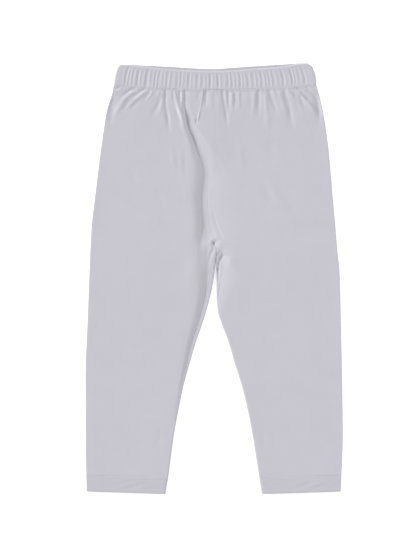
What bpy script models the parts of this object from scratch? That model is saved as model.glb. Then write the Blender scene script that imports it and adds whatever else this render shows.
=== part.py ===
"""Child's capri leggings, laid flat on their back with the front upwards.

The waist lies towards +Y, the hems towards -Y, and the wearer's right leg on the -X side. The origin
is under the middle of the garment, on the surface that it lies on. All sizes are in metres.
"down" is a distance below the highest point of the waistband.
"""

import math
from collections import namedtuple

import bmesh
import bpy

# Overall sizes
LENGTH = 0.500
CROTCH_DOWN = 0.232
HEM_DEPTH = 0.0172
SEAM_GAP = 0.0003
CROTCH_GAP = 0.0008
CROTCH_GAP_ENDS = 0.250

# Walls of cloth
LEG_WALL = 0.0011
HEM_WALL = 0.0015
BAND_WALL = 0.0023
BAND_HEIGHT = 0.0052
HEM_HEIGHT = 0.0042

# Gathers of the waistband, crest to hollow, and how unevenly they lie
FRONT_GATHERS = 46
BACK_GATHERS = 44
GATHER_SWELL = 0.0006
GATHER_UNEVEN = 0.22
GATHER_SLANT = 0.0005
GATHER_LOW_SHARE = 0.2
GATHER_BEATS = (2.1, 5.3, 3.7, 1.9)
GATHER_SECOND_BEAT = 0.7
GATHER_ENDS_CALM = 0.05
BAND_RIM_DROP = 0.0006
COLUMNS_PER_GATHER = 4

# Columns of a leg's mesh, counted on its plain levels; the levels under the waistband have twice as many
BACK_TURN_COLUMNS = 6
BACK_RUN_COLUMNS = 4
OUTER_TURN_COLUMNS = 4
FRONT_RUN_COLUMNS = 17
FRONT_TURN_COLUMNS = 4

# Facets beside a seam, and the flat cloth that the back turn takes in above the crotch
SEAM_FACET = 0.00055
SEAM_SHOULDER = 0.0030
TURN_FLAT = 0.050
CROTCH_ROUNDING = 0.030

# The deep fold left of the centre seam: half widths of its hollow and of the ridge on its left
FOLD_HALF_WIDTH = 0.0026
FOLD_RIDGE_AWAY = 0.0060
FOLD_RIDGE_HALF_WIDTH = 0.0048
FOLD_LEFT_COLUMNS = 12
FOLD_LEFT_SHOULDER = 0.0045
FOLD_RIGHT_SHOULDER = 0.0018
FOLD_HOLD_ENDS = 0.200

# How far from an edge the folds of the front die out
EDGE_CALM = 0.011

# A pucker rises over the first share of its length and fades over another share of it
PUCKER_RISE = 0.2
PUCKER_FADE_FROM = 0.35
PUCKER_FADE_OVER = 0.75

# How the columns under the waistband lean out towards the side, along the puckers there
LEAN_SHARE = 0.62
LEAN_WIDTH = 0.040
LEAN_FULL_DOWN = 0.0430
LEAN_ENDS_DOWN = 0.0940

COTTON_COLOUR = (0.585, 0.578, 0.632, 1.0)
BAND_COLOUR = (0.565, 0.558, 0.612, 1.0)
COTTON_ROUGHNESS = 0.88

Leg = namedtuple("Leg", "name inward")
RIGHT_LEG = Leg("right", 1.0)
LEFT_LEG = Leg("left", -1.0)

# Outer edges of the two legs, from under the waistband to the hems
Edge = namedtuple("Edge", "down right left")
OUTER_EDGE = (
    Edge(0.0255, -0.1168, 0.1188),
    Edge(0.0348, -0.1184, 0.1215),
    Edge(0.0557, -0.1248, 0.1264),
    Edge(0.0766, -0.1282, 0.1299),
    Edge(0.1044, -0.1322, 0.1334),
    Edge(0.1323, -0.1357, 0.1359),
    Edge(0.1601, -0.1390, 0.1382),
    Edge(0.1879, -0.1423, 0.1408),
    Edge(0.2158, -0.1438, 0.1430),
    Edge(0.2436, -0.1450, 0.1458),
    Edge(0.3063, -0.1474, 0.1474),
    Edge(0.3619, -0.1495, 0.1486),
    Edge(0.4315, -0.1493, 0.1495),
    Edge(0.5000, -0.1483, 0.1470),
)

# Inner edges below the crotch, and how far the inseam lies up and over each edge
InnerEdge = namedtuple("InnerEdge", "down right left right_seam left_seam")
INNER_EDGE = (
    InnerEdge(0.2320, 0.0016, 0.0019, 0.0000, 0.0000),
    InnerEdge(0.2436, 0.0010, 0.0023, 0.0010, 0.0010),
    InnerEdge(0.2540, -0.0004, 0.0023, 0.0040, 0.0040),
    InnerEdge(0.2645, -0.0023, 0.0023, 0.0062, 0.0062),
    InnerEdge(0.2850, -0.0082, 0.0033, 0.0058, 0.0048),
    InnerEdge(0.3063, -0.0143, 0.0096, 0.0046, 0.0026),
    InnerEdge(0.3202, -0.0195, 0.0150, 0.0038, 0.0014),
    InnerEdge(0.3480, -0.0278, 0.0232, 0.0020, 0.0004),
    InnerEdge(0.3759, -0.0357, 0.0318, 0.0008, 0.0000),
    InnerEdge(0.3898, -0.0384, 0.0355, 0.0004, 0.0000),
    InnerEdge(0.4315, -0.0464, 0.0441, 0.0000, 0.0000),
    InnerEdge(0.4733, -0.0522, 0.0510, 0.0000, 0.0000),
    InnerEdge(0.5000, -0.0566, 0.0553, 0.0000, 0.0000),
)

# The seam from the waistband to the crotch, on the front and on the back
CentreSeam = namedtuple("CentreSeam", "down front back")
CENTRE_SEAM = (
    CentreSeam(0.0255, -0.0118, -0.0020),
    CentreSeam(0.0487, -0.0154, -0.0018),
    CentreSeam(0.0661, -0.0172, -0.0015),
    CentreSeam(0.0835, -0.0150, -0.0012),
    CentreSeam(0.1009, -0.0104, -0.0009),
    CentreSeam(0.1183, -0.0068, -0.0006),
    CentreSeam(0.1415, -0.0062, -0.0002),
    CentreSeam(0.1647, -0.0060, 0.0002),
    CentreSeam(0.1821, -0.0046, -0.0006),
    CentreSeam(0.1995, -0.0018, -0.0002),
    CentreSeam(0.2080, 0.0006, 0.0006),
    CentreSeam(0.2193, 0.0026, 0.0026),
    CentreSeam(0.2320, 0.00175, 0.00175),
)

# Height of the two layers of cloth at the folds of the legs
Stack = namedtuple("Stack", "down height")
STACK = (
    Stack(0.0255, 0.0048),
    Stack(0.0600, 0.0043),
    Stack(0.1000, 0.0040),
    Stack(0.1900, 0.0040),
    Stack(0.2200, 0.0044),
    Stack(0.2450, 0.0044),
    Stack(0.2900, 0.0040),
)

# Upper and lower edges of the waistband across the garment
BandEdge = namedtuple("BandEdge", "x front_top back_top front_low back_low")
BAND_EDGE = (
    BandEdge(-0.1168, 0.0016, 0.0016, 0.0255, 0.0255),
    BandEdge(-0.1050, 0.0018, 0.0018, 0.0262, 0.0258),
    BandEdge(-0.0860, 0.0035, 0.0030, 0.0280, 0.0265),
    BandEdge(-0.0640, 0.0060, 0.0041, 0.0292, 0.0270),
    BandEdge(-0.0400, 0.0078, 0.0055, 0.0298, 0.0274),
    BandEdge(-0.0200, 0.0089, 0.0067, 0.0302, 0.0276),
    BandEdge(0.0000, 0.0092, 0.0074, 0.0303, 0.0277),
    BandEdge(0.0200, 0.0088, 0.0060, 0.0301, 0.0276),
    BandEdge(0.0400, 0.0072, 0.0046, 0.0297, 0.0274),
    BandEdge(0.0600, 0.0056, 0.0033, 0.0289, 0.0270),
    BandEdge(0.0800, 0.0040, 0.0021, 0.0279, 0.0265),
    BandEdge(0.0930, 0.0018, 0.0012, 0.0269, 0.0261),
    BandEdge(0.1050, 0.0002, 0.0000, 0.0260, 0.0257),
    BandEdge(0.1188, 0.0001, 0.0001, 0.0255, 0.0255),
)

# Side edges of the waistband, from its lower edge to its upper one
BandSide = namedtuple("BandSide", "level left right")
BAND_SIDE = (
    BandSide(0.00, -0.1168, 0.1188),
    BandSide(0.14, -0.1166, 0.1188),
    BandSide(0.84, -0.1128, 0.1142),
    BandSide(1.00, -0.1098, 0.1092),
)

# The deep fold that runs from the waistband towards the crotch, on the wearer's right leg
FoldRow = namedtuple("FoldRow", "down x depth ridge")
MAIN_FOLD = (
    FoldRow(0.0300, -0.0350, 0.0010, 0.0005),
    FoldRow(0.0480, -0.0345, 0.0014, 0.0010),
    FoldRow(0.0646, -0.0312, 0.0016, 0.0013),
    FoldRow(0.0796, -0.0270, 0.0016, 0.0013),
    FoldRow(0.0916, -0.0212, 0.0014, 0.0012),
    FoldRow(0.1032, -0.0168, 0.0013, 0.0010),
    FoldRow(0.1125, -0.0145, 0.0012, 0.0009),
    FoldRow(0.1264, -0.0132, 0.0011, 0.0008),
    FoldRow(0.1415, -0.0140, 0.0010, 0.0007),
    FoldRow(0.1647, -0.0152, 0.0009, 0.0006),
    FoldRow(0.1870, -0.0142, 0.0009, 0.0005),
    FoldRow(0.2042, -0.0165, 0.0005, 0.0003),
    FoldRow(0.2200, -0.0188, 0.0000, 0.0000),
)

# Puckers of the front under the waistband: hollows have a negative height, ridges a positive one
Pucker = namedtuple("Pucker", "x down end_x end_down half_width height")
FRONT_PUCKERS = (
    Pucker(-0.0951, 0.0298, -0.1090, 0.0364, 0.0026, -0.0010),
    Pucker(-0.0990, 0.0340, -0.1165, 0.0603, 0.0034, 0.0009),
    Pucker(-0.0817, 0.0298, -0.0991, 0.0422, 0.0027, -0.0011),
    Pucker(-0.0809, 0.0324, -0.1016, 0.0538, 0.0032, 0.0008),
    Pucker(-0.0734, 0.0330, -0.0792, 0.0414, 0.0027, -0.0008),
    Pucker(-0.0635, 0.0330, -0.0734, 0.0588, 0.0030, -0.0008),
    Pucker(-0.0606, 0.0350, -0.0606, 0.0557, 0.0026, 0.0007),
    Pucker(-0.0568, 0.0320, -0.0527, 0.0754, 0.0027, -0.0013),
    Pucker(-0.0452, 0.0340, -0.0378, 0.0654, 0.0032, 0.0008),
    Pucker(-0.0240, 0.0310, -0.0235, 0.0480, 0.0030, -0.0007),
    Pucker(-0.0050, 0.0310, -0.0060, 0.0522, 0.0030, -0.0010),
    Pucker(0.0020, 0.0310, 0.0030, 0.0480, 0.0028, 0.0005),
    Pucker(0.0096, 0.0310, 0.0137, 0.0682, 0.0028, -0.0013),
    Pucker(0.0209, 0.0310, 0.0209, 0.0500, 0.0028, 0.0007),
    Pucker(0.0262, 0.0320, 0.0262, 0.0557, 0.0027, -0.0008),
    Pucker(0.0377, 0.0320, 0.0400, 0.0480, 0.0032, 0.0007),
    Pucker(0.0507, 0.0310, 0.0515, 0.0603, 0.0028, -0.0010),
    Pucker(0.0590, 0.0330, 0.0610, 0.0568, 0.0030, 0.0007),
    Pucker(0.0650, 0.0310, 0.0698, 0.0566, 0.0028, -0.0010),
    Pucker(0.0797, 0.0300, 0.0905, 0.0727, 0.0030, -0.0011),
    Pucker(0.0893, 0.0320, 0.1009, 0.0522, 0.0032, 0.0008),
    Pucker(0.0966, 0.0290, 0.1190, 0.0500, 0.0028, -0.0013),
    Pucker(0.0990, 0.0330, 0.1180, 0.0621, 0.0030, 0.0008),
)

# Wide shallow hollows and ridges lower down on the front
FRONT_DRAGS = (
    Pucker(-0.1160, 0.1850, -0.0560, 0.1840, 0.0060, 0.0003),
    Pucker(0.0560, 0.1850, 0.1330, 0.1845, 0.0060, 0.0003),
    Pucker(-0.0860, 0.1410, -0.1000, 0.1240, 0.0050, -0.0003),
    Pucker(0.0560, 0.1410, 0.0690, 0.1640, 0.0050, -0.0003),
    Pucker(-0.0620, 0.4300, -0.0660, 0.4450, 0.0050, -0.0003),
    Pucker(0.0590, 0.4300, 0.0560, 0.4450, 0.0050, -0.0003),
)

# Levels of a leg's mesh, given at its outer edge: close ones under the waistband, then plain ones.
# Close levels dip in the middle with the waistband's lower edge, and plain ones rise to the hem.
CLOSE_LEVELS = (0.0258, 0.0305, 0.0365, 0.0435, 0.0515, 0.0605, 0.0705, 0.0815)
PLAIN_LEVELS = (
    0.0940, 0.1080, 0.1220, 0.1370, 0.1520, 0.1670, 0.1820, 0.1960, 0.2080, 0.2180, 0.2250, CROTCH_DOWN,
    0.2390, 0.2490, 0.2630, 0.2810, 0.3010, 0.3230, 0.3480, 0.3740, 0.4020, 0.4300, 0.4580,
)
HEM_TOP_DOWN = 0.4798
HEM_SLOPE = 0.0030
HEM_SLOPE_FROM = 0.400
DIP_ENDS = 0.0940


def read(table, place, value, at):
    """Return a table's value at a place, on a smooth curve that never swings past its rows."""
    places = [getattr(row, place) for row in table]
    values = [getattr(row, value) for row in table]
    if at <= places[0]:
        return values[0]
    if at >= places[-1]:
        return values[-1]
    last = len(places) - 1
    rises = [(values[i + 1] - values[i]) / (places[i + 1] - places[i]) for i in range(last)]
    k = max(i for i in range(last) if places[i] <= at)
    start_rise = meeting_rise(rises, k)
    end_rise = meeting_rise(rises, k + 1)
    step = places[k + 1] - places[k]
    t = (at - places[k]) / step
    return (
        values[k] * (2 * t**3 - 3 * t**2 + 1)
        + values[k + 1] * (3 * t**2 - 2 * t**3)
        + start_rise * step * (t**3 - 2 * t**2 + t)
        + end_rise * step * (t**3 - t**2)
    )


def meeting_rise(rises, k):
    """Return the slope of the smooth curve at row k, from the slopes on both its sides."""
    if k == 0:
        return rises[0]
    if k == len(rises):
        return rises[-1]
    before, after = rises[k - 1], rises[k]
    if before * after <= 0:
        return 0.0
    return 2 * before * after / (before + after)


def ease(t):
    """Return 0 below 0, 1 above 1, and a smooth step between."""
    t = min(max(t, 0.0), 1.0)
    return t * t * (3 - 2 * t)


def blend(a, b, t):
    """Return the value a share t of the way from a to b."""
    return a + (b - a) * t


def pucker_height(pucker, x, down):
    """Return how far one pucker raises or lowers the cloth at a point."""
    run_x = pucker.end_x - pucker.x
    run_down = pucker.end_down - pucker.down
    length = math.hypot(run_x, run_down)
    along = ((x - pucker.x) * run_x + (down - pucker.down) * run_down) / length
    across = ((x - pucker.x) * run_down - (down - pucker.down) * run_x) / length
    share = along / length
    fade = 1 - ease((share - PUCKER_FADE_FROM) / PUCKER_FADE_OVER)
    rise = ease(share / PUCKER_RISE + 1.0)
    return pucker.height * fade * rise * math.exp(-((across / pucker.half_width) ** 2))


def main_fold_height(x, down):
    """Return the deep fold's hollow and the soft ridge on its left at a point."""
    away = x - read(MAIN_FOLD, "down", "x", down)
    depth = read(MAIN_FOLD, "down", "depth", down)
    ridge = read(MAIN_FOLD, "down", "ridge", down)
    hollow = math.exp(-((away / FOLD_HALF_WIDTH) ** 2))
    crest = math.exp(-(((away + FOLD_RIDGE_AWAY) / FOLD_RIDGE_HALF_WIDTH) ** 2))
    return ridge * crest - depth * hollow


def front_height(leg, x, down):
    """Return the height of the front's outer face above the surface that the garment lies on."""
    stack = read(STACK, "down", "height", down)
    calm = ease(abs(x - read(OUTER_EDGE, "down", leg.name, down)) / EDGE_CALM)
    if down > CROTCH_DOWN:
        calm *= ease(abs(x - read(INNER_EDGE, "down", leg.name, down)) / EDGE_CALM)
    folds = main_fold_height(x, down) if leg is RIGHT_LEG else 0.0
    for pucker in FRONT_PUCKERS + FRONT_DRAGS:
        folds += pucker_height(pucker, x, down)
    return stack + calm * folds


def level_down(leg, level, x, band_column):
    """Return how far down a point of a level lies, following the waistband above and the hem below."""
    dip = 1 - ease((level - CLOSE_LEVELS[0]) / (DIP_ENDS - CLOSE_LEVELS[0]))
    side = BAND_EDGE[0] if leg is RIGHT_LEG else BAND_EDGE[-1]
    low = read(BAND_EDGE, "x", band_column, x) - getattr(side, band_column)
    outer = read(OUTER_EDGE, "down", leg.name, level)
    inner = read(INNER_EDGE, "down", leg.name, level)
    slope = ease((level - HEM_SLOPE_FROM) / (HEM_TOP_DOWN - HEM_SLOPE_FROM))
    across = min(max((x - outer) / (inner - outer), 0.0), 1.0)
    return level + dip * low + slope * HEM_SLOPE * across


def with_midpoints(places):
    """Return a list with the middle of each step put in."""
    finer = [places[0]]
    for before, after in zip(places, places[1:]):
        finer += [(before + after) / 2, after]
    return finer


def spread(start, end, steps):
    """Return evenly spaced places from start to end."""
    return [blend(start, end, i / steps) for i in range(steps + 1)]


def front_run(leg, level, outer_place, centre, inner_place):
    """Return places along the front from the outer fold to the seam, drawn towards the folds."""
    places = spread(outer_place, inner_place, FRONT_RUN_COLUMNS)
    if leg is RIGHT_LEG:
        hold = 1 - ease((level - FOLD_HOLD_ENDS) / (CROTCH_DOWN - FOLD_HOLD_ENDS))
        fold = read(MAIN_FOLD, "down", "x", level) - centre
        drawn = spread(outer_place, fold - FOLD_LEFT_SHOULDER, FOLD_LEFT_COLUMNS) + [fold]
        right_columns = FRONT_RUN_COLUMNS - FOLD_LEFT_COLUMNS - 2
        drawn += spread(fold + FOLD_RIGHT_SHOULDER, inner_place, right_columns)
        places = [blend(a, b, hold) for a, b in zip(places, drawn)]
    lean = ease((level - CLOSE_LEVELS[0]) / (LEAN_FULL_DOWN - CLOSE_LEVELS[0]))
    lean *= LEAN_SHARE * (1 - ease((level - LEAN_FULL_DOWN) / (LEAN_ENDS_DOWN - LEAN_FULL_DOWN)))
    leaning = []
    for place in places:
        away = place - outer_place
        leaning.append(outer_place + away * (1 - lean * math.exp(-((away / LEAN_WIDTH) ** 2))))
    return leaning


def leg_level(leg, level, close=False):
    """Return the outer points of one level of a leg, from its back edge round to its front edge.

    Across the level the distance "inward" grows from the outer fold to the centre, so that one
    description serves both legs.
    """
    inward = leg.inward
    stack = read(STACK, "down", "height", level)
    radius = stack / 2
    quarter = radius * math.pi / 2
    outer = inward * read(OUTER_EDGE, "down", leg.name, level)
    below = level >= CROTCH_DOWN
    if below:
        inner = inward * read(INNER_EDGE, "down", leg.name, level)
        seam = read(INNER_EDGE, "down", leg.name + "_seam", level)
        back_centre = front_centre = inner - radius
        back_end = quarter + seam
        front_end = quarter - seam
        flat = 0.0
    else:
        turned = max(0.0, 1 - (CROTCH_DOWN - level) / CROTCH_ROUNDING)
        angle = turned**2 * math.pi / 2
        reach = radius * math.sin(angle) + SEAM_GAP / 2
        back_centre = inward * read(CENTRE_SEAM, "down", "back", level) - reach
        front_centre = inward * read(CENTRE_SEAM, "down", "front", level) - reach
        back_end = front_end = radius * angle
        flat = TURN_FLAT * (1 - ease(level / CROTCH_DOWN))

    def back_point(place):
        """Return the point of the back at a distance past the start of its inner turn."""
        if place <= 0:
            return back_centre + place, 0.0
        if place <= 2 * quarter:
            angle = place / radius
            return back_centre + radius * math.sin(angle), radius - radius * math.cos(angle)
        return front_point(2 * quarter - place)

    def front_point(place):
        """Return the point of the front at a distance past the start of its inner turn."""
        x = inward * (front_centre + min(place, 0.0))
        top = front_height(leg, x, level_down(leg, level, x, "front_low"))
        if place <= 0:
            return front_centre + place, top
        angle = place / radius
        return front_centre + radius * math.sin(angle), top - radius + radius * math.cos(angle)

    back_places = [back_end] + spread(back_end - SEAM_FACET, -flat, BACK_TURN_COLUMNS - 1)
    back_places += spread(-flat, outer + radius - back_centre, BACK_RUN_COLUMNS)[1:]
    shoulder = min(0.0, front_end - SEAM_SHOULDER)
    front_places = front_run(leg, level, outer + radius - front_centre, inward * front_centre, shoulder)
    front_places += spread(shoulder, front_end - SEAM_FACET, FRONT_TURN_COLUMNS - 1)[1:] + [front_end]
    angles = spread(0.0, math.pi, OUTER_TURN_COLUMNS)
    if close:
        back_places, front_places, angles = map(with_midpoints, (back_places, front_places, angles))

    back = [back_point(place) for place in back_places]
    front = [front_point(place) for place in front_places]
    if below:
        front[-2] = back_point(back_end + SEAM_FACET)
        closing = ease((level - CROTCH_DOWN) / (CROTCH_GAP_ENDS - CROTCH_DOWN))
        gap = blend(CROTCH_GAP, SEAM_GAP, closing)
        back[0], front[-1] = seam_edges(back[1], front[-2], gap)
    turn = [(outer + radius - radius * math.sin(a), radius - radius * math.cos(a)) for a in angles[1:-1]]
    points = [(place_xy(leg, level, w, "back_low"), z) for w, z in back + turn[: len(turn) // 2]]
    points += [(place_xy(leg, level, w, "front_low"), z) for w, z in turn[len(turn) // 2 :] + front]
    return [(x, y, z) for (x, y), z in points]


def seam_edges(back, front, gap):
    """Return the two edges of a seam, a gap apart on the straight line between a back and a front point."""
    half_gap = gap / 2 / math.dist(back, front)
    shares = (0.5 - half_gap, 0.5 + half_gap)
    return [(blend(back[0], front[0], share), blend(back[1], front[1], share)) for share in shares]


def place_xy(leg, level, across, band_column):
    """Return the x and y of a point on a level, from its distance inward."""
    x = leg.inward * across
    return x, LENGTH / 2 - level_down(leg, level, x, band_column)


def stitch_rows(bm, fine, coarse):
    """Fill the space between two rows, the first with a whole number of steps for each of the second."""
    ratio = (len(fine) - 1) // (len(coarse) - 1)
    for k in range(len(coarse) - 1):
        first = k * ratio
        if ratio == 1:
            bm.faces.new((fine[k], fine[k + 1], coarse[k + 1], coarse[k]))
            continue
        middle = first + ratio // 2
        for i in range(first, middle):
            bm.faces.new((fine[i], fine[i + 1], coarse[k]))
        bm.faces.new((fine[middle], coarse[k + 1], coarse[k]))
        for i in range(middle, first + ratio):
            bm.faces.new((fine[i], fine[i + 1], coarse[k + 1]))


def new_vertices(bm, points):
    """Add a row of vertices and return it."""
    return [bm.verts.new(point) for point in points]


def closed(row):
    """Return a row of vertices that ends where it starts."""
    return row + row[:1]


def finish_object(bm, name, collection, material):
    """Make a named object of a mesh, with its material, in the garment's collection."""
    mesh = bpy.data.meshes.new(name)
    bm.to_mesh(mesh)
    bm.free()
    mesh.materials.append(material)
    garment_piece = bpy.data.objects.new(name, mesh)
    collection.objects.link(garment_piece)
    return garment_piece


def add_wall(garment_piece, thickness):
    """Give an open surface its wall, grown inwards."""
    wall = garment_piece.modifiers.new("Cloth wall", "SOLIDIFY")
    wall.thickness = thickness
    wall.offset = -1.0
    wall.use_even_offset = True
    wall.use_quality_normals = True


def cloth_material(name, colour):
    """Return a matt cotton material."""
    material = bpy.data.materials.new(name)
    material.use_nodes = True
    shader = material.node_tree.nodes["Principled BSDF"]
    shader.inputs["Base Color"].default_value = colour
    shader.inputs["Roughness"].default_value = COTTON_ROUGHNESS
    shader.inputs["Metallic"].default_value = 0.0
    return material


def make_leg(leg, collection):
    """Make one leg: a single cut piece folded round the outside of the leg, open along its seams."""
    bm = bmesh.new()
    rows = [new_vertices(bm, leg_level(leg, level, close=True)) for level in CLOSE_LEVELS]
    for level in PLAIN_LEVELS + (HEM_TOP_DOWN - SEAM_GAP,):
        rows.append(new_vertices(bm, leg_level(leg, level)))
    for upper, lower in zip(rows, rows[1:]):
        stitch_rows(bm, upper, lower)
    if leg is RIGHT_LEG:
        bmesh.ops.reverse_faces(bm, faces=bm.faces[:])
    material = cloth_material(leg.name.capitalize() + " leg cotton jersey", COTTON_COLOUR)
    garment_piece = finish_object(bm, leg.name + "_leg", collection, material)
    add_wall(garment_piece, LEG_WALL)


def hem_ring(leg, level, stack):
    """Return the points of a closed level of a hem, which lies a little proud of the leg above it."""
    ring = leg_level(leg, level)
    own = read(STACK, "down", "height", level)
    middle = tuple((a + b) / 2 for a, b in zip(ring[0], ring[-1]))
    return [(x, y, z * stack / own) for x, y, z in [middle] + ring[1:-1]]


def make_hem(leg, collection):
    """Make the turned-up hem of one leg, a ring of doubled cloth below the leg's stitching."""
    bm = bmesh.new()
    levels = (HEM_TOP_DOWN, HEM_TOP_DOWN + HEM_DEPTH / 2, HEM_TOP_DOWN + HEM_DEPTH)
    rows = [closed(new_vertices(bm, hem_ring(leg, level, HEM_HEIGHT))) for level in levels]
    for upper, lower in zip(rows, rows[1:]):
        stitch_rows(bm, upper, lower)
    if leg is RIGHT_LEG:
        bmesh.ops.reverse_faces(bm, faces=bm.faces[:])
    material = cloth_material(leg.name.capitalize() + " hem cotton jersey", COTTON_COLOUR)
    garment_piece = finish_object(bm, leg.name + "_hem", collection, material)
    add_wall(garment_piece, HEM_WALL)


def gather_shares(gathers):
    """Return where each column of a row of uneven gathers lies, from 0 to 1."""
    shares = []
    start = 0.0
    for gather in range(gathers):
        beat = math.sin(GATHER_BEATS[0] * gather)
        beat += GATHER_SECOND_BEAT * math.sin(GATHER_BEATS[1] * gather + 1)
        pitch = 1 + GATHER_UNEVEN * beat
        shares += [start + pitch * k / COLUMNS_PER_GATHER for k in range(COLUMNS_PER_GATHER)]
        start += pitch
    return [share / start for share in shares] + [1.0]


def gather_swell(column, columns):
    """Return how far a column of the gathers lies below its crests, calmer at both ends of the row."""
    gather = column // COLUMNS_PER_GATHER
    wave = (1 + math.cos(2 * math.pi * column / COLUMNS_PER_GATHER)) / 2
    uneven = 1 - GATHER_LOW_SHARE * (1 - math.sin(GATHER_BEATS[2] * gather))
    ends = ease(min(column, columns - column) / COLUMNS_PER_GATHER / 2)
    return 2 * GATHER_SWELL * wave * uneven * ends


def band_ring(level):
    """Return the outer points of the waistband at a level from 0, its lower edge, to 1, its upper edge."""
    left = read(BAND_SIDE, "level", "left", level)
    right = read(BAND_SIDE, "level", "right", level)
    radius = BAND_HEIGHT / 2
    rim = BAND_RIM_DROP if level in (0.0, 1.0) else 0.0
    ring = []
    for face, gathers in (("front", FRONT_GATHERS), ("back", BACK_GATHERS)):
        shares = gather_shares(gathers)
        if face == "back":
            shares = [1 - share for share in shares]
        for column, share in enumerate(shares):
            slant = GATHER_SLANT * math.sin(GATHER_BEATS[3] * (column // COLUMNS_PER_GATHER))
            slant *= level - 0.5
            inside = ease(min(share, 1 - share) / GATHER_ENDS_CALM)
            x = blend(left + radius, right - radius, share) + slant * inside
            below = gather_swell(column, len(shares) - 1) + rim * inside
            z = BAND_HEIGHT - below if face == "front" else below
            ring.append((x, band_y(x, level, face), z))
        side = right - radius if face == "front" else left + radius
        out = 1.0 if face == "front" else -1.0
        for turn in spread(0.0, math.pi, COLUMNS_PER_GATHER)[1:-1]:
            height = radius + out * radius * math.cos(turn)
            x = side + out * radius * math.sin(turn)
            front_y, back_y = band_y(x, level, "front"), band_y(x, level, "back")
            ring.append((x, blend(back_y, front_y, height / BAND_HEIGHT), height))
    return ring


def band_y(x, level, face):
    """Return the y of the waistband at a level on one of its faces."""
    low = read(BAND_EDGE, "x", face + "_low", x)
    top = read(BAND_EDGE, "x", face + "_top", x)
    return LENGTH / 2 - blend(low, top, level)


def make_waistband(collection):
    """Make the waistband: a flattened tube of cloth gathered over its elastic, with a plain inside."""
    bm = bmesh.new()
    outer_rows = []
    inner_rows = []
    for side in BAND_SIDE:
        ring = band_ring(side.level)
        outer_rows.append(closed(new_vertices(bm, ring)))
        if side.level in (0.0, 1.0):
            inner = [(x, y, inner_band_height(z)) for x, y, z in ring[::COLUMNS_PER_GATHER]]
            inner_rows.append(closed(new_vertices(bm, inner)))
    for lower, upper in zip(outer_rows, outer_rows[1:]):
        stitch_rows(bm, lower, upper)
    stitch_rows(bm, *reversed(inner_rows))
    stitch_rows(bm, outer_rows[-1], inner_rows[-1])
    stitch_rows(bm, outer_rows[0], inner_rows[0])
    bmesh.ops.recalc_face_normals(bm, faces=bm.faces[:])
    material = cloth_material("Waistband cotton jersey", BAND_COLOUR)
    finish_object(bm, "waistband", collection, material)


def inner_band_height(z):
    """Return the height of the waistband's plain inside, under its front or over its back."""
    return BAND_HEIGHT - BAND_WALL if z > BAND_HEIGHT / 2 else BAND_WALL


def main():
    """Make the garment."""
    for leftover in list(bpy.data.objects):
        bpy.data.objects.remove(leftover, do_unlink=True)
    collection = bpy.data.collections.new("Capri leggings")
    bpy.context.scene.collection.children.link(collection)
    make_waistband(collection)
    for leg in (RIGHT_LEG, LEFT_LEG):
        make_leg(leg, collection)
        make_hem(leg, collection)


main()
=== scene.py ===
"""The looks of a child's cotton jersey capri leggings, laid flat on their back.

The waist lies towards +Y, the hems towards -Y, and the wearer's right leg on the -X side. All sizes
are in metres, but the rows of the tables are written in tenths of a millimetre. "down" is a distance
below the highest point of the waistband. A "level" is the down of a row of cloth at its outer edge:
rows dip with the waistband above and with the hem below.
"""

import logging
import math
from dataclasses import dataclass
from enum import Enum
from typing import Callable, NamedTuple, Sequence

import bmesh
import bpy
import numpy as np
from mathutils import Matrix, Vector


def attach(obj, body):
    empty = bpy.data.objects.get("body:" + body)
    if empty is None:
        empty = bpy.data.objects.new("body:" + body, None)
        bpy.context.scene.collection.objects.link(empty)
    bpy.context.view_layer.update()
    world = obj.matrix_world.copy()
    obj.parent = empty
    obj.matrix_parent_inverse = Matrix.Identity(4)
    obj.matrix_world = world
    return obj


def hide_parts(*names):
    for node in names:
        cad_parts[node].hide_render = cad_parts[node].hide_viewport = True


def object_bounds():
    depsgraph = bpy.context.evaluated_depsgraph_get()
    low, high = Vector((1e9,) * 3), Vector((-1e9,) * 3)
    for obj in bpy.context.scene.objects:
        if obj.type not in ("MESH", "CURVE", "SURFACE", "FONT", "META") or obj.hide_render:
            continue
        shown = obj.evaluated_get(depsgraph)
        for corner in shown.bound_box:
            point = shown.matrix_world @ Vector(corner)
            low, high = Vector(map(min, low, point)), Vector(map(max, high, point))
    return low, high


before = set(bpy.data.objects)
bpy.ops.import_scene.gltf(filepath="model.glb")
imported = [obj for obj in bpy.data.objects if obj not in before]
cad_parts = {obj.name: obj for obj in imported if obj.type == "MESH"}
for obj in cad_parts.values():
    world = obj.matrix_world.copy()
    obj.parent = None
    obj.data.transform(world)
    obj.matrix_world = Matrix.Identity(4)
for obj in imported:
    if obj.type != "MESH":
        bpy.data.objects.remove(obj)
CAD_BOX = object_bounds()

log = logging.getLogger("capri_leggings")

Row = np.ndarray
Piece = bpy.types.Object
Node = bpy.types.Node
Tree = bpy.types.NodeTree
TOP = CAD_BOX[1][1]
TENTHS_IN_METRE = 10000

HEM_GAP = 0.0003
CROTCH_DOWN = 0.232
ABOVE_CROTCH = 0.200
CROTCH_ROUNDING = 0.030
BAND_HEIGHT = 0.0052
BAND_WALL = 0.0023
HEM_TOP = 0.4798
HEM_DEPTH = 0.0172
HEM_HEIGHT = 0.0042
HEM_SLOPE = 0.0030
HEM_SLOPE_FROM = 0.400
LEG_TOP = 0.0248
DIP_ENDS = 0.0940


class Side(str, Enum):
    """The wearer's two sides."""

    RIGHT = "right"
    LEFT = "left"

    @property
    def inward(self) -> float:
        """The x direction from the outer fold towards the middle of the garment."""
        return 1.0 if self is Side.RIGHT else -1.0


class Face(str, Enum):
    """The two layers of the garment as it lies."""

    FRONT = "front"
    BACK = "back"


def table(kind: Callable[..., NamedTuple], *rows: tuple[float, ...]) -> tuple[NamedTuple, ...]:
    """Return named rows in metres, from rows written in tenths of a millimetre."""
    return tuple(kind(*(value / TENTHS_IN_METRE for value in row)) for row in rows)


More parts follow.
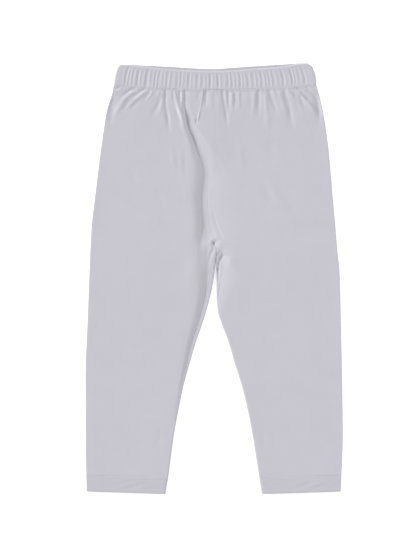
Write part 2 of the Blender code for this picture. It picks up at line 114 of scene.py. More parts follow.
class EdgeRow(NamedTuple):
    """The outer edges of both legs at a level."""

    down: float
    right: float
    left: float


OUTER_EDGE = table(
    EdgeRow,
    (255, -1168, 1188),
    (348, -1184, 1215),
    (557, -1248, 1264),
    (766, -1282, 1299),
    (1044, -1322, 1334),
    (1323, -1357, 1359),
    (1601, -1390, 1382),
    (1879, -1423, 1408),
    (2158, -1438, 1430),
    (2436, -1450, 1458),
    (3063, -1474, 1474),
    (3619, -1495, 1486),
    (4315, -1493, 1495),
    (5000, -1483, 1470),
)
INNER_EDGE = table(
    EdgeRow,
    (2320, 16, 19),
    (2436, 6, 23),
    (2540, -10, 23),
    (2645, -30, 23),
    (2850, -82, 33),
    (3063, -148, 96),
    (3202, -198, 150),
    (3480, -280, 232),
    (3759, -357, 318),
    (3898, -384, 355),
    (4315, -464, 441),
    (4733, -522, 510),
    (5000, -566, 553),
)


class SeamRow(NamedTuple):
    """The x of the centre seam on the front and on the back."""

    down: float
    front: float
    back: float


CENTRE_SEAM = table(
    SeamRow,
    (255, -118, -20),
    (487, -154, -18),
    (661, -172, -15),
    (835, -150, -12),
    (1009, -104, -9),
    (1183, -78, -6),
    (1415, -70, -2),
    (1647, -68, 2),
    (1821, -52, -6),
    (1995, -18, -2),
    (2080, 6, 6),
    (2193, 26, 26),
    (2320, 17.5, 17.5),
)


class InseamRow(NamedTuple):
    """How far over the inner edge the inseam lies on the front, and the form of the cloth there.

    "low" is the height of the strip between the edge and the seam, "rise" how wide the slope from
    the seam up to the front is, and "groove" how deep the seam itself sinks in.
    """

    down: float
    away: float
    low: float
    rise: float
    groove: float


RIGHT_INSEAM = table(
    InseamRow,
    (2090, 85, 44, 120, 0),
    (2165, 91, 38, 130, 2),
    (2245, 96, 34, 145, 3),
    (2320, 90, 31, 145, 4),
    (2440, 86, 27, 140, 5),
    (2530, 78, 24, 125, 5),
    (2616, 68, 23, 110, 5),
    (2710, 60, 23, 100, 5),
    (2850, 56, 23, 86, 5),
    (2990, 53, 24, 74, 4),
    (3270, 49, 26, 55, 3),
    (3450, 42, 28, 42, 2),
    (3640, 30, 31, 34, 0),
    (3900, 21, 36, 36, 0),
    (4200, 20, 40, 40, 0),
)
LEFT_INSEAM = table(
    InseamRow,
    (2090, 80, 44, 110, 0),
    (2165, 80, 35, 130, 0),
    (2245, 80, 29, 150, 0),
    (2320, 80, 26, 170, 0),
    (2430, 74, 27, 170, 0),
    (2520, 60, 28, 160, 0),
    (2616, 50, 31, 140, 0),
    (2710, 42, 33, 110, 0),
    (2820, 26, 36, 74, 0),
    (2950, 20, 40, 50, 0),
    (3200, 20, 42, 40, 0),
)


class StackRow(NamedTuple):
    """The height of both layers of cloth together."""

    down: float
    height: float


STACK = table(
    StackRow,
    (255, 48),
    (600, 43),
    (1000, 40),
    (1900, 40),
    (2200, 44),
    (2450, 44),
    (2900, 40),
)


class BandEdgeRow(NamedTuple):
    """The upper and lower edges of the waistband, front and back, at an x."""

    x: float
    front_top: float
    back_top: float
    front_low: float
    back_low: float


BAND_EDGE = table(
    BandEdgeRow,
    (-1168, 16, 16, 255, 255),
    (-1050, 18, 18, 262, 258),
    (-860, 35, 30, 280, 265),
    (-640, 60, 41, 292, 270),
    (-400, 78, 55, 298, 274),
    (-200, 89, 67, 302, 276),
    (0, 92, 74, 303, 277),
    (200, 88, 60, 301, 276),
    (400, 72, 46, 297, 274),
    (600, 56, 33, 289, 270),
    (800, 40, 21, 279, 265),
    (930, 18, 12, 269, 261),
    (1050, 2, 0, 260, 257),
    (1188, 1, 1, 255, 255),
)


class BandSideRow(NamedTuple):
    """The side edges of the waistband, in metres, at a share of its height."""

    share: float
    left: float
    right: float


BAND_SIDE = (
    BandSideRow(0.00, -0.1168, 0.1188),
    BandSideRow(0.14, -0.1166, 0.1188),
    BandSideRow(0.84, -0.1128, 0.1142),
    BandSideRow(1.00, -0.1098, 0.1092),
)


class FoldRow(NamedTuple):
    """A long fold at a down: its depth, its slopes' widths, the ridges beside it, and its step.

    "step" is how far the cloth to its left lies above the cloth to its right.
    """

    down: float
    x: float
    depth: float
    left: float
    right: float
    left_ridge: float
    right_ridge: float
    step: float


MAIN_FOLD = table(
    FoldRow,
    (300, -340, 0, 14, 14, 2, 0, 0),
    (336, -340, 8, 14, 18, 3, 0, 0),
    (476, -340, 10, 18, 24, 5, 1, 0),
    (545, -336, 13, 18, 32, 7, 2, 1),
    (615, -326, 18, 19, 44, 9, 3, 2),
    (684, -316, 23, 20, 56, 8, 3, 3),
    (754, -299, 27, 22, 70, 6, 3, 4),
    (824, -269, 30, 24, 84, 4, 2, 5),
    (893, -243, 31, 26, 100, 3, 2, 6),
    (963, -219, 31, 31, 120, 2, 2, 8),
    (1032, -195, 31, 38, 140, 1, 2, 10),
    (1102, -165, 31, 48, 156, 0, 2, 12),
    (1172, -144, 31, 56, 170, 0, 1, 13),
    (1241, -132, 31, 64, 180, 0, 1, 14),
    (1311, -129, 31, 68, 186, 0, 0, 14),
    (1380, -134, 31, 72, 190, 0, 0, 14),
    (1450, -148, 31, 68, 196, 0, 0, 14),
    (1589, -158, 32, 62, 200, 0, 0, 14),
    (1728, -150, 32, 60, 200, 0, 0, 14),
    (1868, -140, 32, 54, 196, 0, 0, 14),
    (1937, -146, 31, 54, 190, 0, 0, 12),
    (2007, -154, 26, 56, 180, 0, 0, 10),
    (2077, -160, 18, 60, 160, 0, 0, 8),
    (2160, -166, 8, 68, 150, 0, 0, 5),
    (2260, -170, 3, 76, 140, 0, 0, 3),
    (2400, -170, 0, 76, 140, 0, 0, 0),
)


class Crease(NamedTuple):
    """A soft ridge, or a trough where its height is negative, along a line on the cloth."""

    x: float
    down: float
    end_x: float
    end_down: float
    half_width: float
    height: float


WAIST_PUCKERS = table(
    Crease,
    (-1056, 268, -1160, 313, 13, -9),
    (-1073, 296, -1178, 371, 18, 5),
    (-940, 299, -1096, 406, 19, -12),
    (-952, 348, -1085, 458, 22, 10),
    (-1038, 418, -1183, 655, 26, 11),
    (-998, 458, -1067, 563, 17, -7),
    (-800, 305, -957, 406, 19, -12),
    (-805, 333, -1015, 522, 21, 12),
    (-887, 447, -992, 574, 24, -6),
    (-710, 331, -795, 452, 18, 8),
    (-742, 342, -818, 447, 16, -7),
    (-637, 348, -737, 464, 19, 8),
    (-667, 377, -725, 481, 18, -6),
    (-603, 412, -737, 655, 28, -9),
    (-594, 365, -629, 621, 20, 10),
    (-567, 342, -553, 597, 17, -13),
    (-502, 331, -494, 452, 15, 8),
    (-470, 319, -465, 423, 13, -7),
    (-456, 354, -389, 586, 19, 15),
    (-397, 342, -391, 505, 13, -9),
    (-368, 354, -365, 464, 12, 7),
    (-296, 371, -203, 406, 26, 4),
    (-168, 331, -191, 447, 16, -5),
    (-119, 319, -164, 574, 11, 8),
    (-95, 331, -101, 528, 18, -12),
    (-41, 354, -23, 574, 24, 6),
    (52, 412, 58, 597, 26, 5),
    (99, 342, 139, 597, 17, -13),
    (164, 354, 172, 597, 16, -12),
    (210, 365, 217, 505, 15, 9),
    (242, 365, 245, 563, 15, -10),
    (289, 354, 296, 551, 14, 7),
    (377, 377, 389, 528, 34, 5),
    (470, 365, 450, 644, 22, 9),
    (514, 348, 520, 609, 20, -13),
    (597, 400, 624, 667, 22, 10),
    (644, 342, 737, 597, 23, -12),
    (679, 331, 766, 429, 16, 7),
    (767, 365, 841, 609, 21, 10),
    (824, 354, 905, 644, 25, -12),
    (864, 331, 1038, 557, 20, 11),
    (934, 389, 998, 574, 18, -7),
    (998, 389, 1067, 539, 16, -7),
    (992, 342, 1166, 568, 20, 11),
    (1108, 470, 1247, 713, 24, 11),
    (974, 302, 1131, 458, 18, -14),
    (1085, 412, 1224, 563, 18, -10),
    (1079, 261, 1201, 336, 15, 6),
    (1052, 256, 1187, 303, 13, -8),
    (1096, 319, 1201, 412, 14, -8),
)
BODY_CREASES = table(
    Crease,
    (-560, 505, -514, 795, 20, -11),
    (-435, 470, -342, 713, 20, 15),
    (128, 505, 157, 748, 20, -8),
    (858, 505, 920, 760, 30, -8),
    (-154, 505, -210, 760, 10, 6),
    (618, 574, 628, 783, 30, 4),
    (-1168, 330, -1216, 760, 50, -8),
    (1190, 340, 1244, 760, 50, -14),
    (-203, 644, -198, 737, 15, -9),
    (-100, 300, -10, 2000, 200, 5),
    (-26, 850, -4, 1450, 44, 3),
    (-165, 850, -165, 3100, 140, 5),
    (190, 2228, 190, 2400, 50, 4),
    (-250, 2250, -290, 2750, 60, 3),
    (-65, 1940, -62, 2160, 50, -6),
    (-500, 980, -440, 1300, 28, 3),
    (-345, 980, -325, 1320, 22, -2),
    (-395, 1000, -370, 1330, 24, 2),
    (-1160, 1845, -380, 1840, 80, 3),
    (480, 1845, 1380, 1840, 80, 3),
    (-860, 1410, -1000, 1240, 36, -3),
    (-680, 1480, -560, 1660, 36, -3),
    (-400, 1590, -180, 1700, 50, -3),
    (560, 1410, 720, 1660, 40, -4),
    (620, 1370, 780, 1600, 40, 3),
    (830, 1630, 990, 1770, 40, -3),
    (300, 900, 330, 1300, 40, 3),
    (640, 880, 700, 1150, 50, -3),
    (-620, 4300, -660, 4450, 40, -4),
    (590, 4300, 560, 4450, 40, -4),
    (530, 4400, 560, 4540, 36, 3),
)
CROTCH_CREASES = table(
    Crease,
    (-4, 2080, -2, 2135, 19, -20),
    (24, 2060, 30, 2150, 34, -10),
    (-4, 2150, -34, 2240, 16, -6),
    (-34, 2200, -62, 2340, 15, -5),
    (-75, 2150, -82, 2260, 24, -2),
    (-4, 1775, 22, 1880, 13, -3),
    (20, 1860, 66, 1980, 13, -3),
    (62, 1950, 106, 2060, 13, -2),
    (22, 1980, 60, 2100, 14, 2),
    (46, 2170, 56, 2195, 12, 6),
    (47, 2213, 50, 2225, 7, -7),
    (90, 2210, 92, 2225, 7, -6),
    (108, 2232, 66, 2300, 17, -7),
    (78, 2262, 52, 2350, 15, -8),
    (134, 2236, 94, 2340, 40, -4),
    (54, 2320, 46, 2440, 13, -9),
    (47, 2400, 46, 2560, 12, -11),
)
BAND_START, BAND_END = BAND_EDGE[0].x, BAND_EDGE[-1].x

# How a crease begins and fades along its length, and how the small puckers are held back
PUCKER_RISE = 0.2
SOFT_RISE = 0.6
SOFT_START = 0.2
PUCKER_FADE_FROM = 0.35
PUCKER_FADE_OVER = 0.75
PUCKER_FLOOR = 0.0013
PUCKER_START = 0.0040
PUCKER_STRENGTH = 0.62
PUCKER_RIDGES = 0.80

# The calm strips of cloth beside the garment's edges
EDGE_CALM = 0.011
TOP_EDGE_CALM = 0.0045
TOP_EDGE_ENDS = 0.050
TOP_EDGE_FADE = 0.035
INNER_CALM_START = 0.3
INNER_CALM_OVER = 0.012
CROTCH_EDGE_CALM = 0.0012
LEAST_HEIGHT = 0.0009

# The form of the deep fold
FOLD_SHARPNESS = 1.5
CORE_SHARE = 0.12
CORE_GONE_AT = 0.0088
CORE_FADE = 0.0044
CORE_WIDTH = 0.0021
STEP_WIDTH = 0.0056
STEP_REACH = 0.026
RIDGE_OFFSET = 1.3
LEFT_RIDGE_AWAY = 0.0016
LEFT_RIDGE_WIDTH = 0.0017
LEFT_RIDGE_GROWTH = 0.6
RIGHT_RIDGE_AWAY = 0.0024
RIGHT_RIDGE_WIDTH = 0.0028


def ease(share: Row) -> Row:
    """Return 0 below 0, 1 above 1, and a smooth step between."""
    share = np.clip(share, 0.0, 1.0)
    return share * share * (3 - 2 * share)


def hump(away: Row, half_width: float) -> Row:
    """Return a bell of height 1 and the given half width."""
    return np.exp(-((away / half_width) ** 2))


def running(steps: Row) -> Row:
    """Return the length run at each point, from the steps between the points."""
    return np.concatenate(([0.0], np.cumsum(steps)))


def along_band(x: Row) -> Row:
    """Return how far along the waistband an x lies, from 0 to 1."""
    return (x - BAND_START) / (BAND_END - BAND_START)


def set_inputs(node: Node, values: dict[str, object]) -> None:
    """Set a node's inputs, each by its name."""
    for name, value in values.items():
        node.inputs[name].default_value = value


def add_object(name: str, bm: bmesh.types.BMesh, material: bpy.types.Material) -> Piece:
    """Turn a bmesh into a smooth-shaded object at the origin, and free it.

    Args:
        name: The object's name.
        bm: The finished bmesh.
        material: Its only material.

    Returns:
        The object, in the scene.
    """
    mesh = bpy.data.meshes.new(name)
    bm.to_mesh(mesh)
    bm.free()
    mesh.materials.append(material)
    mesh.shade_smooth()
    made = bpy.data.objects.new(name, mesh)
    bpy.context.scene.collection.objects.link(made)
    return made


class Curve:
    """A smooth line through the rows of a table, which never swings past them."""

    def __init__(self, rows: Sequence[NamedTuple], column: str) -> None:
        """Read the line's values from a column, and its places from the first one.

        Args:
            rows: The table.
            column: The column's name.
        """
        self.places = np.array([row[0] for row in rows])
        self.values = np.array([getattr(row, column) for row in rows])
        self.steps = np.diff(self.places)
        rises = np.diff(self.values) / self.steps
        before, after = rises[:-1], rises[1:]
        same_way = before * after > 0
        both = np.where(same_way, before + after, 1.0)
        meeting = np.where(same_way, 2 * before * after / both, 0.0)
        self.rises = np.concatenate((rises[:1], meeting, rises[-1:]))

    def __call__(self, at: Row) -> Row:
        """Return the line's value at one or more places.

        Args:
            at: The places, held inside the table's own.

        Returns:
            The values there.
        """
        at = np.clip(at, self.places[0], self.places[-1])
        k = np.searchsorted(self.places, at, side="right") - 1
        k = np.clip(k, 0, len(self.steps) - 1)
        step = self.steps[k]
        t = (at - self.places[k]) / step
        return (
            self.values[k] * (2 * t**3 - 3 * t**2 + 1)
            + self.values[k + 1] * (3 * t**2 - 2 * t**3)
            + self.rises[k] * step * (t**3 - 2 * t**2 + t)
            + self.rises[k + 1] * step * (t**3 - t**2)
        )


def columns(rows: Sequence[NamedTuple]) -> dict[str, Curve]:
    """Return the curves of a table's columns, by their names."""
    return {name: Curve(rows, name) for name in rows[0]._fields[1:]}


def crease_height(crease: Crease, x: Row, down: Row, soft_start: bool = False) -> Row:
    """Return how far one crease raises the cloth.

    Args:
        crease: The crease.
        x, down: Where each point is.
        soft_start: Whether the crease fades in as slowly as it fades out.

    Returns:
        The heights, negative in a trough.
    """
    run_x = crease.end_x - crease.x
    run_down = crease.end_down - crease.down
    length = math.hypot(run_x, run_down)
    share = ((x - crease.x) * run_x + (down - crease.down) * run_down) / length**2
    across = ((x - crease.x) * run_down - (down - crease.down) * run_x) / length
    fade = 1 - ease((share - PUCKER_FADE_FROM) / PUCKER_FADE_OVER)
    rise = ease(share / SOFT_RISE + SOFT_START) if soft_start else ease(share / PUCKER_RISE + 1.0)
    return crease.height * fade * rise * hump(across, crease.half_width)


class Outline:
    """The garment's outline and seam lines, read from the tables."""

    def __init__(self) -> None:
        """Read each table once."""
        band = columns(BAND_EDGE)
        self.outer, self.inner = columns(OUTER_EDGE), columns(INNER_EDGE)
        self.seam = columns(CENTRE_SEAM)
        self.stack = Curve(STACK, "height")
        self.band_low = {face: band[face.value + "_low"] for face in Face}
        self.band_top = {face: band[face.value + "_top"] for face in Face}

    def from_inner(self, side: Side, x: Row, down: Row) -> Row:
        """Return how far points lie from their leg's inner edge."""
        return (self.inner[side](down) - x) * side.inward

    def down_at(self, side: Side, level: float, x: Row, face: Face) -> Row:
        """Return how far down the points of a level lie.

        Args:
            side: The leg.
            level: The level of the row at its outer edge.
            x: The x of each point.
            face: The layer that the points are on.

        Returns:
            The down of each point.
        """
        dip = 1 - ease((level - LEG_TOP) / (DIP_ENDS - LEG_TOP))
        edge_x = BAND_START if side is Side.RIGHT else BAND_END
        low = self.band_low[face](x) - self.band_low[face](edge_x)
        outer, inner = self.outer[side](level), self.inner[side](level)
        slope = ease((level - HEM_SLOPE_FROM) / (HEM_TOP - HEM_SLOPE_FROM))
        across = np.clip((x - outer) / (inner - outer), 0.0, 1.0)
        return level + dip * low + slope * HEM_SLOPE * across


def creases_height(creases: Sequence[Crease], x: Row, down: Row, soft_start: bool = False) -> Row:
    """Return how far a table's creases together raise the cloth."""
    return sum(crease_height(crease, x, down, soft_start) for crease in creases)


@dataclass
class Gathers:
    """The even but lively gathers that the elastic pulls into the cloth."""

    count: dict[Face, int]
    unevenness: float = 0.22
    depth: float = 0.00054
    sharpness: float = 1.3
    lean: float = 0.16
    lean_width: float = 0.42
    ends: float = 22.0

    def hollow(self, face: Face, along: Row, share: float) -> Row:
        """Return how far below its crests the gathered cloth lies.

        Args:
            face: The front or the back of the garment.
            along: The place of each point along the face, from 0 to 1.
            share: The place across the waistband, from 0 at its lower edge to 1.

        Returns:
            The depths, from 0 on a crest.
        """
        order = np.arange(self.count[face])
        pitch = 1 + self.unevenness * (np.sin(2.1 * order) + 0.7 * np.sin(5.3 * order + 1))
        starts = running(pitch) / pitch.sum()
        index = np.interp(along, starts, np.arange(len(starts)))
        leaning = self.lean * np.sin(1.9 * np.floor(index) + 0.6) * (share - 0.5)
        phase = index + leaning * hump(index - np.floor(index) - 0.5, self.lean_width)
        nearest = np.round(phase)
        valley = np.abs(np.cos(math.pi * phase)) ** self.sharpness
        strength = 0.80 + 0.34 * np.sin(3.7 * nearest + 1.3)
        fork = 0.90 + 0.18 * np.sin(2.9 * nearest + 2.4 * share)
        calm = 0.25 + 0.75 * ease(np.minimum(along, 1 - along) * self.ends)
        return self.depth * valley * strength * fork * calm


@dataclass
class FrontCloth:
    """The height of the garment's front above the table, with each fold that shows."""

    outline: Outline
    gathers: Gathers
    seam_line_down: float = 0.0034
    seam_line_depth: float = 0.00022
    seam_line_width: float = 0.00075
    top_fullness: float = 0.00017
    fullness_fade: float = 0.004
    gather_fade: float = 0.0052
    tucked_under: float = 0.0009
    cut_edge: float = 0.0001
    cut_edge_width: float = 0.0005
    gathers_settle: float = 0.0025
    hem_line: float = 0.4776
    hem_line_depth: float = 0.00016
    hem_line_width: float = 0.0008
    inseam_sharpness: float = 1.7
    groove_width: float = 0.0032
    groove_lean: float = 2.2
    lie: float = 0.00012

    def __post_init__(self) -> None:
        """Read the folds' tables once."""
        self.fold = columns(MAIN_FOLD)
        self.inseam = {Side.RIGHT: columns(RIGHT_INSEAM), Side.LEFT: columns(LEFT_INSEAM)}

    def main_fold(self, x: Row, down: Row) -> Row:
        """Return the relief of the deep fold beside the centre seam.

        Args:
            x, down: Where each point is.

        Returns:
            The heights.
        """
        away = x - self.fold["x"](down)
        left, right = self.fold["left"](down), self.fold["right"](down)
        width = np.where(away < 0, left, right)
        slopes = np.exp(-((np.abs(away) / width) ** FOLD_SHARPNESS))
        core = CORE_SHARE * ease((CORE_GONE_AT - left) / CORE_FADE)
        valley = (1 - core) * slopes + core * hump(away, np.minimum(CORE_WIDTH, 0.5 * width))
        left_width = LEFT_RIDGE_WIDTH + LEFT_RIDGE_GROWTH * left
        left_crest = hump(away + RIDGE_OFFSET * left + LEFT_RIDGE_AWAY, left_width)
        right_crest = hump(away - RIDGE_OFFSET * right - RIGHT_RIDGE_AWAY, RIGHT_RIDGE_WIDTH)
        past = ease(away / STEP_WIDTH + 0.5)
        return (
            self.fold["step"](down) * (0.5 - past) * np.exp(-np.abs(away) / STEP_REACH)
            + self.fold["left_ridge"](down) * left_crest
            + self.fold["right_ridge"](down) * right_crest
            - self.fold["depth"](down) * valley
        )

    def inner_form(self, side: Side, x: Row, down: Row) -> Row:
        """Return how far the cloth lies below its full height beside the inseam.

        Args:
            side: The leg.
            x, down: Where each point is.

        Returns:
            The drops.
        """
        form = self.inseam[side]
        past_seam = self.outline.from_inner(side, x, down) - form["away"](down)
        share = np.clip(past_seam / form["rise"](down), 0.0, 1.0)
        drop = np.maximum(self.outline.stack(down) - form["low"](down), 0.0)
        wide = self.groove_width * np.where(past_seam > 0, self.groove_lean, 1.0)
        return drop * (1 - share) ** self.inseam_sharpness + form["groove"](down) * hump(past_seam, wide)

    def top_relief(self, x: Row, down: Row) -> Row:
        """Return the small gathers and the stitched line just under the waistband.

        Args:
            x, down: Where each point is.

        Returns:
            The heights.
        """
        below = down - self.outline.band_low[Face.FRONT](x)
        past = np.maximum(below, 0.0)
        waves = self.gathers.hollow(Face.FRONT, along_band(x), 0.0) * np.exp(-past / self.gather_fade)
        line = self.seam_line_depth * hump(below - self.seam_line_down, self.seam_line_width)
        under = self.tucked_under * ease((-below - self.cut_edge) / self.cut_edge_width)
        full = self.top_fullness * np.exp(-past / self.fullness_fade)
        return full - (0.25 + 0.35 * ease(below / self.gathers_settle)) * waves - line - under

    def height(self, side: Side, x: Row, down: Row) -> Row:
        """Return the height of the front's outer face.

        Args:
            side: The leg that the points are on.
            x, down: Where each point is.

        Returns:
            The heights above the table.
        """
        outline = self.outline
        wider = (EDGE_CALM - TOP_EDGE_CALM) * ease((down - TOP_EDGE_ENDS) / TOP_EDGE_FADE)
        calm = ease(np.abs(x - outline.outer[side](down)) / (TOP_EDGE_CALM + wider))
        from_edge = outline.from_inner(side, x, down)
        inside = from_edge - self.inseam[side]["away"](down)
        inner_calm = ease(inside / EDGE_CALM + INNER_CALM_START)
        calm = calm * (1 - ease((down - CROTCH_DOWN) / INNER_CALM_OVER) * (1 - inner_calm))
        below_band = down - outline.band_low[Face.FRONT](x)
        puckers = PUCKER_STRENGTH * creases_height(WAIST_PUCKERS, x, down)
        puckers = puckers * ease(below_band / PUCKER_START)
        sunk = -PUCKER_FLOOR * np.tanh(np.maximum(-puckers, 0.0) / PUCKER_FLOOR)
        folds = self.main_fold(x, down) + np.where(puckers < 0, sunk, PUCKER_RIDGES * puckers)
        folds = folds + creases_height(BODY_CREASES, x, down, soft_start=True)
        folds = folds + self.lie * np.sin(41 * x + 17 * down + 0.7) * np.sin(23 * down - 31 * x)
        crotch = creases_height(CROTCH_CREASES, x, down)
        crotch = np.where(down > CROTCH_DOWN, crotch * ease(from_edge / CROTCH_EDGE_CALM), crotch)
        relief = outline.stack(down) + calm * folds + crotch
        relief = relief - self.inner_form(side, x, down) + calm * self.top_relief(x, down)
        past_line = down - self.hem_line - HEM_SLOPE / 2
        hem_line = self.hem_line_depth * hump(past_line, self.hem_line_width)
        return np.maximum(relief - calm * hem_line, LEAST_HEIGHT)


@dataclass
class BackCloth:
    """The height of the garment's underside above the table: flat, with soft hollows."""

    outline: Outline
    seam_lift: float = 0.0007
    seam_down: float = 0.0034
    seam_width: float = 0.0009
    puckers: int = 22
    pucker_down: float = 0.030
    pucker_width: float = 0.0020
    pucker_height: float = 0.0009
    pucker_length: float = 0.026
    pucker_lean: float = 0.022

    def height(self, x: Row, down: Row) -> Row:
        """Return how far the underside is lifted off the table.

        Args:
            x, down: Where each point is.

        Returns:
            The lifts.
        """
        below = down - self.outline.band_low[Face.BACK](x)
        lift = self.seam_lift * hump(below - self.seam_down, self.seam_width)
        for k in range(self.puckers):
            share = (k + 0.5 + 0.3 * math.sin(2.3 * k)) / self.puckers
            start = BAND_START + (BAND_END - BAND_START) * share
            end = start + (share - 0.5) * self.pucker_lean
            end_down = self.pucker_down + self.pucker_length * (0.7 + 0.4 * math.sin(1.7 * k + 0.5))
            height = self.pucker_height * (0.7 + 0.3 * math.sin(3.1 * k))
            pucker = Crease(start, self.pucker_down, end, end_down, self.pucker_width, height)
            lift = lift + crease_height(pucker, x, down)
        return lift


class ClothPiece:
    """A piece of cloth in the place of one solid: a grid laid onto a form, with a map in real sizes."""

    weld: float = 0.000002
    node: str = ""
    slot: str = ""

    def rows(self) -> Row:
        """Return the form's points, as rows by columns by three."""
        raise NotImplementedError

    def grid(self) -> bmesh.types.BMesh:
        """Return the grid, laid onto the form."""
        rows = self.rows()
        lines, across = rows.shape[:2]
        bm = bmesh.new()
        uv_layer = bm.loops.layers.uv.new("Cloth")
        bmesh.ops.create_grid(
            bm, x_segments=across - 1, y_segments=lines - 1, size=0.5, calc_uvs=False
        )
        bm.verts.ensure_lookup_table()
        for vert, point in zip(bm.verts, rows.reshape(-1, 3)):
            vert.co = point
        along = running(np.linalg.norm(np.diff(rows, axis=1), axis=2).mean(axis=0))
        down = running(np.linalg.norm(np.diff(rows, axis=0), axis=2).mean(axis=1))
        for face in bm.faces:
            for loop in face.loops:
                line, column = divmod(loop.vert.index, across)
                loop[uv_layer].uv = (along[column], down[line])
        return bm

    def close(self, bm: bmesh.types.BMesh) -> None:
        """Join the grid's meeting edges into a ring, and turn its faces outwards."""
        bmesh.ops.remove_doubles(bm, verts=bm.verts[:], dist=self.weld)
        bmesh.ops.recalc_face_normals(bm, faces=bm.faces[:])

    def build(self, finish: "JerseyFinish") -> Piece:
        """Make the piece.

        Args:
            finish: The cloth's finish.

        Returns:
            The finished piece.
        """
        bm = self.grid()
        self.close(bm)
        piece = add_object(f"{self.node}_cloth", bm, finish.material())
        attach(piece, "root")
        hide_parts(self.node)
        return piece


